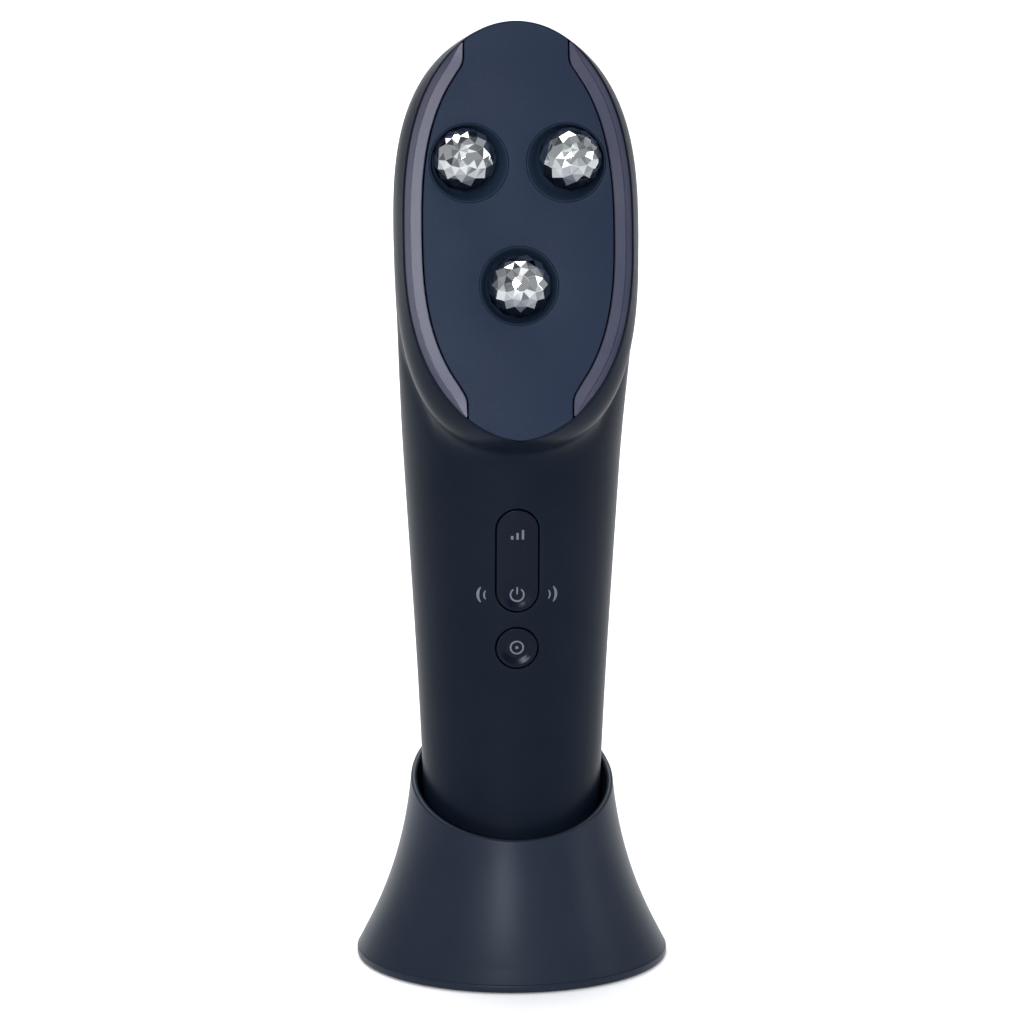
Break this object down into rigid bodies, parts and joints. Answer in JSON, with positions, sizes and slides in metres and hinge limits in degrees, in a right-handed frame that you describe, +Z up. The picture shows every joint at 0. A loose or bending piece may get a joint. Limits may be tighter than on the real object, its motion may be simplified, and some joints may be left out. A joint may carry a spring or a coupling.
{
  "type": "facial lifting brush",
  "caption": "Handheld facial lifting brush with an oval face, faceted metal tips, side lights and keys, upright in a flared holder.",
  "frame": {"origin": "the middle of the holder's foot, on the surface that it stands on", "axes": "+Z up along the standing brush; the face and the keys look towards -Y; +X is to the right seen from the front"},
  "size_m": [0.068, 0.068, 0.206],
  "materials": {
    "case": "satin navy paint over moulded plastic",
    "face": "satin navy paint with a fine metallic sheen",
    "key": "satin navy",
    "collar": "smooth dark navy",
    "tip": "mirror-bright facets",
    "light": "smoked translucent light guide",
    "holder": "satin navy moulding",
    "inner_plastic": "dark inner moulding",
    "rubber": "soft black rubber",
    "board": "circuit board",
    "steel": "plain steel",
    "brass": "plain brass",
    "cell": "shrink sleeve"
  },
  "bodies": {
    "holder": {"holder_shell": "holder", "holder_cup": "inner_plastic", "holder_base": "inner_plastic", "foot_pad": "rubber", "ballast": "steel", "holder_screw_1": "steel", "holder_screw_2": "steel", "holder_screw_3": "steel"},
    "brush": {"front_case": "case", "rear_case": "case", "bottom_cap": "case", "face_plate": "face", "tip_collar_left": "collar", "tip_collar_right": "collar", "tip_collar_lower": "collar", "tip_left": "tip", "tip_right": "tip", "tip_lower": "tip", "light_strip_left": "light", "light_strip_right": "light", "light_board_left": "board", "light_board_right": "board", "main_board": "board", "tip_contact_left": "brass", "tip_contact_right": "brass", "tip_contact_lower": "brass", "battery": "cell", "key_frame": "inner_plastic", "chassis": "inner_plastic", "face_gasket": "rubber", "bottom_seal": "rubber", "pill_pin": "steel", "switch_upper": "steel", "switch_lower": "steel", "switch_round": "steel", "motor_can": "steel", "motor_clamp": "steel", "charge_inlet": "steel", "cap_screw_left": "steel", "cap_screw_right": "steel"},
    "pill_key": {"pill_key": "key"},
    "round_key": {"round_key": "key"},
    "motor_rotor": {"motor_weight": "brass"}
  },
  "joints": [
    {"name": "brush_lift", "type": "slide", "parent": "holder", "child": "brush", "axis": [0, 0, 1], "range_m": [0, 0.09]},
    {"name": "pill_rock", "type": "hinge", "parent": "brush", "child": "pill_key", "pos_m": [0, -0.0149, 0.0918], "axis": [1, 0, 0], "range_deg": [-2.5, 2.5], "stiffness_Nm_per_rad": 0.02},
    {"name": "round_press", "type": "slide", "parent": "brush", "child": "round_key", "axis": [0, 1, 0], "range_m": [0, 0.00045], "stiffness_N_per_m": 900, "springref_m": -0.0002},
    {"name": "motor_spin", "type": "hinge", "parent": "brush", "child": "motor_rotor", "pos_m": [0, -0.0003, 0.13], "axis": [0, 0, 1], "continuous": true}
  ]
}
